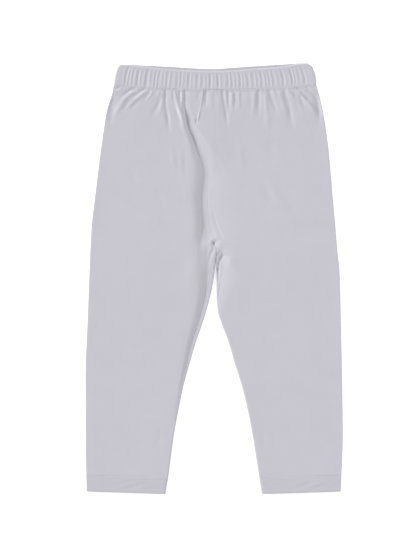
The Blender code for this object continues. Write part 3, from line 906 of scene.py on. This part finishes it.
@dataclass
class LegPanel(ClothPiece):
    """One leg: a single piece of jersey folded round the outside of the leg."""

    side: Side
    outline: Outline
    front: FrontCloth
    back: BackCloth
    wall: float = 0.0006
    back_turn_columns: int = 22
    back_run_columns: int = 30
    outer_turn_columns: int = 12
    edge_reach: float = 0.0006
    front_run_columns: int = 168
    front_turn_columns: int = 10
    turn_flat: float = 0.050
    turn_spacing: float = 1.7
    front_turn_spacing: float = 0.7
    shoulder: float = 0.0045
    edge_inset: float = 0.0012
    back_calm: float = 0.006
    back_edge_calm: float = 0.012
    seam_settles: float = 0.016
    seam_side_width: float = 0.0045
    back_tuck: float = 0.0005
    front_tuck: float = 0.00009
    inseam_tuck: float = 0.00030
    tuck_width: float = 0.0011
    tuck_sharpness: float = 1.6
    tuck_ends_over: float = 0.022
    front_tuck_from: float = 0.140
    front_tuck_over: float = 0.014
    inseam_tuck_from: float = 0.250
    inseam_tuck_over: float = 0.016
    fold_focus_width: float = 0.009
    fold_focus: float = 1.3
    lean_share: float = 0.62
    lean_width: float = 0.040
    lean_full_down: float = 0.0430
    inside_height: float = 0.0018
    slot = "leg_jersey"

    @property
    def node(self) -> str:
        """The node of the leg's solid."""
        return f"{self.side.value}_leg"

    def rows(self) -> Row:
        """Return the rows of the leg, close together where there are folds."""
        stretches = (
            (LEG_TOP, 0.0253, 0.0005),
            (0.0253, 0.0256, 0.0003),
            (0.0256, 0.0600, 0.00095),
            (0.0600, 0.0950, 0.0018),
            (0.0950, 0.1950, 0.0032),
            (0.1950, 0.2620, 0.0015),
            (0.2620, 0.3700, 0.0042),
            (0.3700, 0.4700, 0.0066),
            (0.4700, HEM_TOP + 0.0006, 0.0010),
        )
        levels: list[float] = []
        for start, end, step in stretches:
            count = round((end - start) / step)
            levels += [start + (end - start) * k / count for k in range(count)]
        return np.stack([self.row(level) for level in [*levels, stretches[-1][1]]])

    def front_places(self, level: float, start: float, centre: float, end: float) -> Row:
        """Return places along the front, from the outer fold to the shoulder of the seam.

        Args:
            level: The row's level.
            start: The place of the outer fold.
            centre: The distance inward of place 0.
            end: The place of the shoulder.

        Returns:
            The places, closer together at the deep fold and leaning out with the puckers.
        """
        fine = np.linspace(start, end, 600)
        weight = np.ones_like(fine)
        if self.side is Side.RIGHT:
            fold = float(self.front.fold["x"](level)) - centre
            held = 1 - ease((level - ABOVE_CROTCH) / (CROTCH_DOWN - ABOVE_CROTCH))
            weight = weight + self.fold_focus * held * hump(fine - fold, self.fold_focus_width)
        steps = running((weight[1:] + weight[:-1]) / 2)
        shares = np.linspace(0.0, steps[-1], self.front_run_columns + 1)
        places = np.interp(shares, steps, fine)
        lean = ease((level - LEG_TOP) / (self.lean_full_down - LEG_TOP)) * self.lean_share
        lean *= 1 - ease((level - self.lean_full_down) / (DIP_ENDS - self.lean_full_down))
        away = places - start
        return start + away * (1 - lean * hump(away, self.lean_width))

    def row(self, level: float) -> Row:
        """Return the outer points of one level, from its back edge round to its front edge.

        Args:
            level: The row's level.

        Returns:
            The points, as columns by three.
        """
        side, outline = self.side, self.outline
        inward = side.inward
        outer = inward * float(outline.outer[side](level))
        half_height = float(outline.stack(level)) / 2
        if level >= CROTCH_DOWN:
            inner = inward * float(outline.inner[side](level))
            radius = self.inner_height(level, inward * (inner - self.edge_inset)) / 2
            quarter = radius * math.pi / 2
            seam = self.seam_arc(level, radius)
            back_centre = front_centre = inner - radius
            back_end, front_end = quarter + seam, quarter - seam
            flat = 0.0
        else:
            middle = float(outline.seam[Face.FRONT](level))
            radius = self.inner_height(level, middle - inward * self.edge_inset) / 2
            quarter = radius * math.pi / 2
            turned = max(0.0, 1 - (CROTCH_DOWN - level) / CROTCH_ROUNDING)
            angle = turned**2 * math.pi / 2
            reach = radius * math.sin(angle)
            back_centre = inward * float(outline.seam[Face.BACK](level)) - reach
            front_centre = inward * middle - reach
            back_end = front_end = radius * angle
            flat = self.turn_flat * (1 - float(ease(level / CROTCH_DOWN)))

        def front_point(place: Row) -> tuple[Row, Row]:
            """Return the distance inward and the height of places on the front.

            Args:
                place: How far along the cloth they lie past the start of the inner turn.

            Returns:
                Both, for each place.
            """
            flat_place = np.minimum(place, 0.0)
            x = inward * (front_centre + flat_place)
            top = self.front.height(side, x, outline.down_at(side, level, x, Face.FRONT))
            turn = np.maximum(place, 0.0) / radius
            across = front_centre + flat_place + radius * np.sin(turn)
            return across, top - radius + radius * np.cos(turn)

        def back_point(place: Row) -> tuple[Row, Row]:
            """Return the distance inward and the height of places on the back.

            Args:
                place: How far along the cloth they lie past the start of the inner turn.

            Returns:
                Both, for each place.
            """
            on_turn = np.clip(place, 0.0, 2 * quarter) / radius
            across = back_centre + np.minimum(place, 0.0) + radius * np.sin(on_turn)
            x = inward * across
            lift = self.back.height(x, outline.down_at(side, level, x, Face.BACK))
            lift = lift * ease(-place / self.back_calm) * ease((across - outer) / self.back_edge_calm)
            height = lift + radius - radius * np.cos(on_turn)
            over = place > 2 * quarter
            over_across, over_height = front_point(np.minimum(2 * quarter - place, 0.0))
            return np.where(over, over_across, across), np.where(over, over_height, height)

        shares = np.linspace(0.0, 1.0, self.back_turn_columns) ** self.turn_spacing
        run_end = outer + self.edge_reach - back_centre
        run_places = np.linspace(-flat, run_end, self.back_run_columns + 1)[1:]
        back_w, back_z = back_point(np.concatenate((back_end - (back_end + flat) * shares, run_places)))
        shoulder = min(0.0, front_end - self.shoulder)
        front_start = outer + self.edge_reach - front_centre
        front_places = self.front_places(level, front_start, inward * front_centre, shoulder)
        shares = np.linspace(0.0, 1.0, self.front_turn_columns + 1)[1:] ** self.front_turn_spacing
        turn_places = shoulder + (front_end - shoulder) * shares
        front_w, front_z = front_point(np.concatenate((front_places, turn_places)))
        turn = np.linspace(0.0, math.pi, self.outer_turn_columns + 1)[1:-1]
        turn_w = outer + self.edge_reach - self.edge_reach * np.sin(turn)
        turn_z = half_height - half_height * np.cos(turn)
        across = np.concatenate((back_w, turn_w, front_w))
        height = np.concatenate((back_z, turn_z, front_z))
        across, height = self.tuck_edges(level, across, height)
        x = inward * across
        on_back = np.arange(len(x)) < len(back_w) + len(turn_w) // 2
        downs = [outline.down_at(side, level, x, face) for face in (Face.BACK, Face.FRONT)]
        return np.stack((x, TOP - np.where(on_back, *downs), height), axis=1)

    def inner_height(self, level: float, x: float) -> float:
        """Return the height of the front at a place beside the seam or the inner edge.

        Args:
            level: The level of the place's row.
            x: Its x.

        Returns:
            The height above the table.
        """
        point = np.array([x])
        down = self.outline.down_at(self.side, level, point, Face.FRONT)
        return float(self.front.height(self.side, point, down)[0])

    def seam_arc(self, level: float, radius: float) -> float:
        """Return how far the inseam lies over the middle of the inner fold.

        Args:
            level: The row's level.
            radius: The radius of the inner fold.

        Returns:
            The distance along the cloth.
        """
        away = float(self.front.inseam[self.side]["away"](level))
        quarter = radius * math.pi / 2
        over = max(0.0, away - radius)
        settled = ease((level - CROTCH_DOWN) / self.seam_settles)
        return float((quarter * ease(away / self.seam_side_width - 0.5) + over) * settled)

    def tuck_edges(self, level: float, across: Row, height: Row) -> tuple[Row, Row]:
        """Turn the two seamed edges of a row inwards.

        Args:
            level: The row's level.
            across: The distance inward of each point.
            height: The height of each point.

        Returns:
            Both again, with the edges tucked in.
        """
        run, rise = np.gradient(across), np.gradient(height)
        length = np.maximum(np.hypot(run, rise), 1e-9)
        from_start = running(np.hypot(np.diff(across), np.diff(height)))
        from_end = from_start[-1] - from_start
        above = 1 - float(ease((level - ABOVE_CROTCH) / self.tuck_ends_over))
        shown = float(ease((level - self.front_tuck_from) / self.front_tuck_over))
        inseam = self.inseam_tuck * float(ease((level - self.inseam_tuck_from) / self.inseam_tuck_over))
        depth = np.zeros_like(across)
        for away, full in ((from_start, self.back_tuck), (from_end, self.front_tuck * shown)):
            share = np.clip(1 - away / self.tuck_width, 0.0, 1.0) ** self.tuck_sharpness
            depth = np.maximum(depth, (full * above + inseam) * share)
        return across + depth * rise / length, height - depth * run / length

    def close(self, bm: bmesh.types.BMesh) -> None:
        """Turn the open sheet over if its faces point inwards.

        Args:
            bm: The grid.
        """
        bm.normal_update()
        middle = self.inside_height
        if sum(face.normal.z * (face.calc_center_median().z - middle) for face in bm.faces) < 0:
            bmesh.ops.reverse_faces(bm, faces=bm.faces[:])

    def build(self, finish: "JerseyFinish") -> Piece:
        """Make the leg.

        Args:
            finish: The cloth's finish.

        Returns:
            The finished piece, with its wall.
        """
        piece = super().build(finish)
        wall = piece.modifiers.new("Cloth wall", "SOLIDIFY")
        wall.thickness = self.wall
        wall.offset = -1.0
        wall.use_even_offset = True
        wall.thickness_clamp = 0.6
        return piece


@dataclass
class WaistbandCasing(ClothPiece):
    """The casing over the elastic: a flattened tube, gathered all round, with a rolled rim."""

    outline: Outline
    gathers: Gathers
    columns_per_gather: int = 10
    turn_columns: int = 14
    front_rim: float = 0.0019
    back_rim: float = 0.00045
    back_rise: float = 0.0007
    back_rise_ends: float = 0.107
    back_rise_over: float = 0.012
    inside_depth: float = 0.3
    inside_lift: float = -0.0004
    inside_lift_over: float = 0.11
    low_sag: float = 0.0002
    low_sag_width: float = 0.10
    low_calm: float = 0.16
    rim_calm_from: float = 0.62
    rim_calm: float = 0.88
    outer_shares: tuple[float, ...] = (
        0.0, 0.008, 0.03, 0.07, 0.12, 0.18, 0.26, 0.36, 0.46, 0.56, 0.66, 0.74, 0.81, 0.86, 1.0
    )
    inner_shares: tuple[float, ...] = (0.88, 0.82, 0.7, 0.5, 0.25, 0.0)
    node = "waistband"
    slot = "waistband_jersey"

    def __post_init__(self) -> None:
        """Read the side edges once."""
        self.sides = columns(BAND_SIDE)

    def rows(self) -> Row:
        """Return the rings of the casing's section, the first again at the end."""
        half = BAND_WALL / 2
        rim_angles, low_angles = np.linspace(0.0, math.pi, 9)[1:], np.linspace(0.0, math.pi, 6)[1:]
        section = [(share, 0.0, 0.0) for share in self.outer_shares]
        section += [(1.0, half * (1 - math.cos(a)), math.sin(a)) for a in rim_angles]
        section.append((1.0, BAND_WALL, -0.25))
        section += [(share, BAND_WALL, 0.0) for share in self.inner_shares]
        section += [(0.0, half * (1 + math.cos(a)), -0.2 * math.sin(a)) for a in low_angles]
        return np.stack([self.ring(*place) for place in section + section[:1]])

    def ring(self, share: float, depth: float, reach: float) -> Row:
        """Return the points round the band at one place of its section.

        Args:
            share: The place between the lower edge, 0, and the upper edge, 1.
            depth: The depth in the wall, from its outer face.
            reach: How far past the edge the point lies, as a share of the rim.

        Returns:
            The points of the closed ring, the first again at the end.
        """
        radius = BAND_HEIGHT / 2
        left, right = (float(self.sides[side](share)) for side in ("left", "right"))
        past_edge = reach - 1.0 if share == 1.0 else reach
        outside, inside = depth == 0.0, depth == BAND_WALL
        swell = 1.0 if outside else self.inside_depth if inside else 0.6
        past_calm = (share - self.rim_calm_from) / (1 - self.rim_calm_from)
        pull = 0.25 + 0.75 * ease(share / self.low_calm) - self.rim_calm * ease(past_calm)
        lift = self.inside_lift * float(ease((1 - share) / self.inside_lift_over) * ease(share * 8 - 5.4))
        points = []
        for face in Face:
            front = face is Face.FRONT
            count = self.gathers.count[face] * self.columns_per_gather
            along = np.linspace(0.0, 1.0, count + 1)[:: 1 if front else -1]
            x = left + radius + (right - left - 2 * radius) * along
            calm = ease(np.minimum(along, 1 - along) * 30)
            hollow = self.gathers.hollow(face, along, share) * swell
            flat = radius - depth - hollow * pull * calm * (1 if outside else 0.5)
            if outside:
                flat = flat - self.low_sag * hump(np.array(share), self.low_sag_width) * calm
            z = radius + flat if front else radius - flat
            if inside and not front:
                z = z + lift * calm
            rim = self.front_rim if front else self.back_rim
            points.append(np.stack((x, self.edge_y(x, share, face) + past_edge * rim, z), axis=1))
            out = 1.0 if front else -1.0
            turn = np.linspace(0.0, math.pi, self.turn_columns + 1)[1:-1]
            end_x = (right - radius if front else left + radius) + out * (radius - depth) * np.sin(turn)
            end_z = radius + out * (radius - depth) * np.cos(turn)
            front_y, back_y = (self.edge_y(end_x, share, layer) for layer in Face)
            end_y = back_y + (front_y - back_y) * (end_z / BAND_HEIGHT) + past_edge * self.back_rim
            points.append(np.stack((end_x, end_y, end_z), axis=1))
        ring = np.concatenate(points)
        return np.concatenate((ring, ring[:1]))

    def edge_y(self, x: Row, share: float, face: Face) -> Row:
        """Return the y of places across the band.

        Args:
            x: The x of each place.
            share: Their place between the lower edge, 0, and the upper edge, 1.
            face: The layer that they are on.

        Returns:
            The y of each place.
        """
        low, top = self.outline.band_low[face](x), self.outline.band_top[face](x)
        if face is Face.BACK:
            top = top - self.back_rise * ease((self.back_rise_ends - np.abs(x)) / self.back_rise_over)
        return TOP - (low + (top - low) * share)


@dataclass
class HemBand(ClothPiece):
    """The turned-up hem of one leg: a ring of doubled cloth with a folded lower edge."""

    side: Side
    leg: LegPanel
    wall: float = 0.0013
    pull_height: float = 0.00007
    pull_down: float = 0.0085
    pull_width: float = 0.0050
    line_depth: float = 0.00010
    line_down: float = 0.0010
    line_width: float = 0.0009
    roll_height: float = 0.00008
    roll_up: float = 0.0022
    roll_width: float = 0.0016
    slot = "hem_jersey"

    @property
    def node(self) -> str:
        """The node of the hem's solid."""
        return f"{self.side.value}_hem"

    def rows(self) -> Row:
        """Return the rings of the hem's section, the first again at the end."""
        half = self.wall / 2
        bottom = HEM_TOP + HEM_DEPTH - half
        levels = [float(level) for level in np.linspace(HEM_TOP + HEM_GAP / 2, bottom, 22)]
        turn = np.linspace(0.0, math.pi, 9)[1:]
        section = [(level, 0.0, 0.0) for level in levels]
        section += [(bottom, half * (1 - math.cos(a)), half * math.sin(a)) for a in turn]
        section += [(level, self.wall, 0.0) for level in levels[::-3][1:]]
        return np.stack([self.ring(*place) for place in section + section[:1]])

    def ring(self, level: float, depth: float, reach: float) -> Row:
        """Return one closed ring of the hem.

        Args:
            level: The ring's level.
            depth: Its depth in the doubled cloth.
            reach: How far past the lower fold's start it lies.

        Returns:
            The points, the first again at the end.
        """
        row = self.leg.row(level)
        middle = (row[0] + row[-1]) / 2
        ring = np.concatenate((middle[None], row[2:-2], middle[None]))
        for _ in range(3):
            ring[1:-1] = (ring[:-2] + ring[1:-1] * 2 + ring[2:]) / 4
        centre = HEM_HEIGHT / 2
        full = centre + self.relief(ring, level)
        ring[:, 2] = np.maximum(ring[:, 2], 0.0) * full / (float(self.leg.outline.stack(level)) / 2)
        steps = np.gradient(ring, axis=0)
        normal = np.stack((steps[:, 2], np.zeros(len(ring)), -steps[:, 0]), axis=1)
        normal /= np.maximum(np.linalg.norm(normal, axis=1), 1e-9)[:, None]
        outward = np.sign((normal[:, 2] * (ring[:, 2] - centre)).sum())
        ring = ring - normal * outward * depth
        ring[:, 1] -= reach
        ring[-1] = ring[0]
        return ring

    def relief(self, ring: Row, level: float) -> Row:
        """Return the small pulls of the hem's cloth below its stitches.

        Args:
            ring: The ring's points.
            level: Its level.

        Returns:
            The heights.
        """
        x, below = ring[:, 0], np.array(level - HEM_TOP)
        pulls = np.sin(260 * x + 700 * level) * np.maximum(0.0, np.sin(61 * x + 1.1))
        pulls = self.pull_height * pulls * hump(below - self.pull_down, self.pull_width)
        line = self.line_depth * hump(below - self.line_down, self.line_width)
        rolled = self.roll_height * hump(below - HEM_DEPTH + self.roll_up, self.roll_width)
        return pulls - line + rolled


@dataclass
class StitchLine:
    """A row of machine stitches in cotton thread."""

    name: str
    length: float = 0.0022
    pitch: float = 0.0029
    thread: float = 0.00021

    def __post_init__(self) -> None:
        """Start an empty mesh."""
        self.bm = bmesh.new()

    def sew(self, path: Row) -> None:
        """Sew along a path, one small spindle of thread at each pitch.

        Args:
            path: The points that the stitches follow, close together.
        """
        run = running(np.linalg.norm(np.diff(path, axis=0), axis=1))
        for k in range(int(run[-1] / self.pitch)):
            middle = (k + 0.5) * self.pitch
            start, end = (
                Vector([float(np.interp(at, run, path[:, i])) for i in range(3)])
                for at in (middle - self.length / 2, middle + self.length / 2)
            )
            turn = Vector((1, 0, 0)).rotation_difference(end - start).to_matrix().to_4x4()
            size = Matrix.Diagonal(((end - start).length / 2, self.thread, self.thread, 1))
            upright = Matrix.Rotation(math.pi / 2, 4, "Y")
            place = Matrix.Translation((start + end) / 2) @ turn @ size @ upright
            bmesh.ops.create_uvsphere(self.bm, u_segments=6, v_segments=5, radius=1.0, matrix=place)

    def build(self, finish: "ThreadFinish", slot: str) -> Piece:
        """Make the row of stitches.

        Args:
            finish: The thread's finish.
            slot: The name of a material slot; not used.

        Returns:
            The finished piece.
        """
        piece = add_object(self.name, self.bm, finish.material())
        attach(piece, "root")
        return piece


@dataclass(frozen=True)
class Finish:
    """A finish of the garment, whose colour varies between two shades."""

    name: str
    colour: tuple[float, float, float]

    def material(self) -> bpy.types.Material:
        """Return the material, made once and then shared."""
        material = bpy.data.materials.get(self.name)
        if material is None:
            material = bpy.data.materials.new(self.name)
            material.use_nodes = True
            self.dress(material.node_tree, material.node_tree.nodes["Principled BSDF"])
        return material

    def dress(self, tree: Tree, shader: Node) -> None:
        """Give the material its look, which each finish does in its own way."""
        raise NotImplementedError

    def tint(self, tree: Tree, pattern: Node, darker: float, lighter: float) -> None:
        """Let a pattern mix two shades of the colour.

        Args:
            tree: The material's nodes.
            pattern: The pattern's node.
            darker: The share of the colour where the pattern is 0.
            lighter: The share of the colour where it is 1.
        """
        mix = tree.nodes.new("ShaderNodeMix")
        mix.data_type = "RGBA"
        for socket, share in (("A", darker), ("B", lighter)):
            mix.inputs[socket].default_value = (*(value * share for value in self.colour), 1.0)
        tree.links.new(pattern.outputs["Fac"], mix.inputs["Factor"])
        tree.links.new(mix.outputs["Result"], tree.nodes["Principled BSDF"].inputs["Base Color"])


@dataclass(frozen=True)
class JerseyFinish(Finish):
    """Fine cotton jersey: matt, with faint mottling and a knit too fine to see far off."""

    mottle: float = 0.022
    knit_depth: float = 0.000016
    wale: float = 0.00075
    course: float = 0.00058
    roughness: float = 0.9

    def dress(self, tree: Tree, shader: Node) -> None:
        """Give the material its jersey.

        Args:
            tree: The material's nodes.
            shader: Its shader.
        """
        set_inputs(shader, {"Roughness": self.roughness, "Specular IOR Level": 0.25})
        coords = tree.nodes.new("ShaderNodeTexCoord")
        mottling = tree.nodes.new("ShaderNodeTexNoise")
        set_inputs(mottling, {"Scale": 55.0, "Detail": 5.0})
        tree.links.new(coords.outputs["Object"], mottling.inputs["Vector"])
        self.tint(tree, mottling, 1 - self.mottle, 1 + self.mottle)
        tree.links.new(self.knit(tree, coords), shader.inputs["Normal"])

    def knit(self, tree: Tree, coords: Node) -> bpy.types.NodeSocket:
        """Add the knit's relief: columns of small V-shaped loops along the cloth's own map.

        Args:
            tree: The material's nodes.
            coords: The coordinates' node.

        Returns:
            The socket that gives the bumped normal.
        """

        def calculate(operation: str, first: object, second: object = 0.0) -> bpy.types.NodeSocket:
            """Add one Math node.

            Args:
                operation: What it does.
                first: Its first socket or number.
                second: Its second socket or number.

            Returns:
                The socket that gives the result.
            """
            node = tree.nodes.new("ShaderNodeMath")
            node.operation = operation
            for socket, value in zip(node.inputs, (first, second)):
                if isinstance(value, bpy.types.NodeSocket):
                    tree.links.new(value, socket)
                else:
                    socket.default_value = value
            return node.outputs[0]

        split = tree.nodes.new("ShaderNodeSeparateXYZ")
        tree.links.new(coords.outputs["UV"], split.inputs[0])
        across = calculate("MULTIPLY", split.outputs["X"], 1 / self.wale)
        in_wale = calculate("ABSOLUTE", calculate("SUBTRACT", calculate("FRACT", across), 0.5))
        along = calculate("MULTIPLY", split.outputs["Y"], 1 / self.course)
        slanted = calculate("ADD", along, calculate("MULTIPLY", in_wale, 1.2))
        loops = calculate("SINE", calculate("MULTIPLY", slanted, 2 * math.pi))
        columns = calculate("COSINE", calculate("MULTIPLY", across, 2 * math.pi))
        bump = tree.nodes.new("ShaderNodeBump")
        set_inputs(bump, {"Strength": 1.0, "Distance": self.knit_depth})
        relief = calculate("ADD", calculate("MULTIPLY", loops, 0.5), columns)
        tree.links.new(relief, bump.inputs["Height"])
        return bump.outputs["Normal"]


@dataclass(frozen=True)
class ThreadFinish(Finish):
    """Cotton sewing thread, twisted, a shade lighter than the cloth."""

    twist: float = 0.00045

    def dress(self, tree: Tree, shader: Node) -> None:
        """Give the material its twisted thread.

        Args:
            tree: The material's nodes.
            shader: Its shader.
        """
        set_inputs(shader, {"Roughness": 0.7, "Sheen Weight": 0.2})
        coords = tree.nodes.new("ShaderNodeTexCoord")
        ply = tree.nodes.new("ShaderNodeTexWave")
        ply.bands_direction = "DIAGONAL"
        set_inputs(ply, {"Scale": 1 / self.twist / math.pi})
        tree.links.new(coords.outputs["Object"], ply.inputs["Vector"])
        self.tint(tree, ply, 0.93, 1.0)


@dataclass
class Studio:
    """The pale table, the soft lights and the camera straight above."""

    frame_width: int = 420
    frame_height: int = 560
    metres_per_pixel: float = 0.0011601
    middle_x_pixel: float = 214.0
    middle_y_pixel: float = 278.5
    camera_distance: float = 2.6
    sensor: float = 36.0
    cloth_plane: float = 0.003
    table_reach: float = 4.0
    table_drop: float = 0.0003
    floor_shade: float = 0.93
    floor_glow: float = 0.42
    room_strength: float = 0.575
    key_strength: float = 3.88
    second_strength: float = 1.28
    softness: float = 0.45

    def build(self) -> None:
        """Add the table, the lights and the camera."""
        self.add_floor()
        self.add_world()
        self.add_light("Key light", (-0.92, 0.25, 0.295), self.key_strength)
        self.add_light("Second light", (0.91, 0.27, 0.30), self.second_strength)
        self.add_camera()

    def add_floor(self) -> None:
        """Add the table that the leggings lie on."""
        bm = bmesh.new()
        bmesh.ops.create_grid(bm, x_segments=1, y_segments=1, size=self.table_reach)
        bmesh.ops.translate(bm, verts=bm.verts[:], vec=(0, 0, -self.table_drop))
        material = bpy.data.materials.new("Pale table")
        material.use_nodes = True
        set_inputs(material.node_tree.nodes["Principled BSDF"], {
            "Base Color": (*(self.floor_shade,) * 3, 1.0),
            "Roughness": 1.0,
            "Specular IOR Level": 0.0,
            "Emission Color": (1.0, 1.0, 1.0, 1.0),
            "Emission Strength": self.floor_glow,
        })
        add_object("table_top", bm, material)

    def add_world(self) -> None:
        """Light the room evenly from all round."""
        world = bpy.data.worlds.new("Pale room")
        world.use_nodes = True
        room = {"Color": (1.0, 1.0, 1.0, 1.0), "Strength": self.room_strength}
        set_inputs(world.node_tree.nodes["Background"], room)
        bpy.context.scene.world = world

    def add_light(self, name: str, towards: tuple[float, float, float], strength: float) -> None:
        """Add a broad, far light.

        Args:
            name: The light's name.
            towards: The direction from the garment to the light.
            strength: Its strength in watts for each square metre.
        """
        light = bpy.data.lights.new(name, "SUN")
        light.angle = self.softness
        light.energy = strength
        lamp = bpy.data.objects.new(name, light)
        lamp.location = towards
        lamp.rotation_euler = (-Vector(towards)).to_track_quat("-Z", "Y").to_euler()
        bpy.context.scene.collection.objects.link(lamp)

    def add_camera(self) -> None:
        """Hang the camera straight above, framed as the photograph is."""
        camera = bpy.data.cameras.new("Camera")
        camera.sensor_fit = "VERTICAL"
        camera.sensor_height = self.sensor
        view_height = self.frame_height * self.metres_per_pixel
        camera.lens = self.sensor * (self.camera_distance - self.cloth_plane) / view_height
        eye = bpy.data.objects.new("Camera", camera)
        x = (self.frame_width / 2 - self.middle_x_pixel) * self.metres_per_pixel
        y = (self.middle_y_pixel - self.frame_height / 2) * self.metres_per_pixel
        eye.location = (x, y, self.camera_distance)
        bpy.context.scene.collection.objects.link(eye)
        bpy.context.scene.camera = eye
        bpy.context.scene.view_settings.view_transform = "Standard"


JERSEY = JerseyFinish("Cotton jersey", (0.545, 0.538, 0.588))
BAND_JERSEY = JerseyFinish("Gathered cotton jersey", (0.545, 0.538, 0.588))
# The hem's cloth is a darker copy of the same jersey: painted shade, which makes the hem a few levels
# darker than the legs.
HEM_JERSEY_PAINTED_SHADE = JerseyFinish("Hemmed cotton jersey with painted shade", (0.525, 0.518, 0.567))
THREAD = ThreadFinish("Sewing thread", (0.55, 0.545, 0.59))


@dataclass
class Leggings:
    """The whole garment, sewn together from its pieces."""

    outline: Outline
    gathers: Gathers
    waist_sewn_from: float = -0.1105
    waist_sewn_to: float = 0.1125
    row_on_band: float = -0.0009
    sunk_in_band: float = 0.00034
    on_leg: float = 0.00006
    twin_row: float = 0.0032
    on_hem: float = 0.00008
    on_back: float = 0.0001

    def build(self) -> None:
        front, back = FrontCloth(self.outline, self.gathers), BackCloth(self.outline)
        band = WaistbandCasing(self.outline, self.gathers).build(BAND_JERSEY)
        stitches = self.sew_waist(front)
        report(band, stitches)
        for side in Side:
            panel = LegPanel(side, self.outline, front, back)
            leg = panel.build(JERSEY)
            hem = HemBand(side, panel).build(HEM_JERSEY_PAINTED_SHADE)
            stitches = self.sew_hem(side, panel)
            report(leg, hem, stitches)

    def sew_waist(self, front: FrontCloth) -> Piece:
        """Sew the two rows at the waistband's lower edge, front and back.

        Args:
            front: The cloth of the front.

        Returns:
            The stitches.
        """
        stitches = StitchLine("waistband_stitches")
        x = np.linspace(self.waist_sewn_from, self.waist_sewn_to, 900)
        for offset in (self.row_on_band, front.seam_line_down):
            for face in Face:
                down = self.outline.band_low[face](x) + offset
                if face is Face.BACK:
                    height = np.full_like(x, self.on_back)
                elif offset > 0:
                    legs = [front.height(side, x, down) for side in Side]
                    height = np.where(x < 0, *legs) + self.on_leg
                else:
                    hollow = self.gathers.hollow(face, along_band(x), 0.04) * 0.5
                    height = BAND_HEIGHT - hollow - self.sunk_in_band
                stitches.sew(np.stack((x, TOP - down, height), axis=1))
        return stitches.build(THREAD, "waistband_jersey")

    def sew_hem(self, side: Side, leg: LegPanel) -> Piece:
        """Sew the twin row round one leg, above its hem.

        Args:
            side: The leg's side.
            leg: The leg.

        Returns:
            The stitches.
        """
        stitches = StitchLine(f"{side.value}_hem_stitches")
        for level in (leg.front.hem_line, leg.front.hem_line + self.twin_row):
            row = leg.row(level)[4:-4]
            row[:, 2] = np.where(row[:, 2] > 0.002, row[:, 2] + self.on_hem, self.on_back)
            stitches.sew(row)
        return stitches.build(THREAD, "hem_jersey")


def report(*pieces: Piece) -> None:
    """Write the sizes of finished pieces to the log."""
    for piece in pieces:
        log.info("%s: %d vertices", piece.name, len(piece.data.vertices))


def main() -> None:
    """Dress the leggings and set up the studio."""
    logging.basicConfig(level=logging.INFO, format="%(name)s: %(message)s")
    Leggings(Outline(), Gathers({Face.FRONT: 46, Face.BACK: 44})).build()
    Studio().build()


if __name__ == "__main__":
    main()
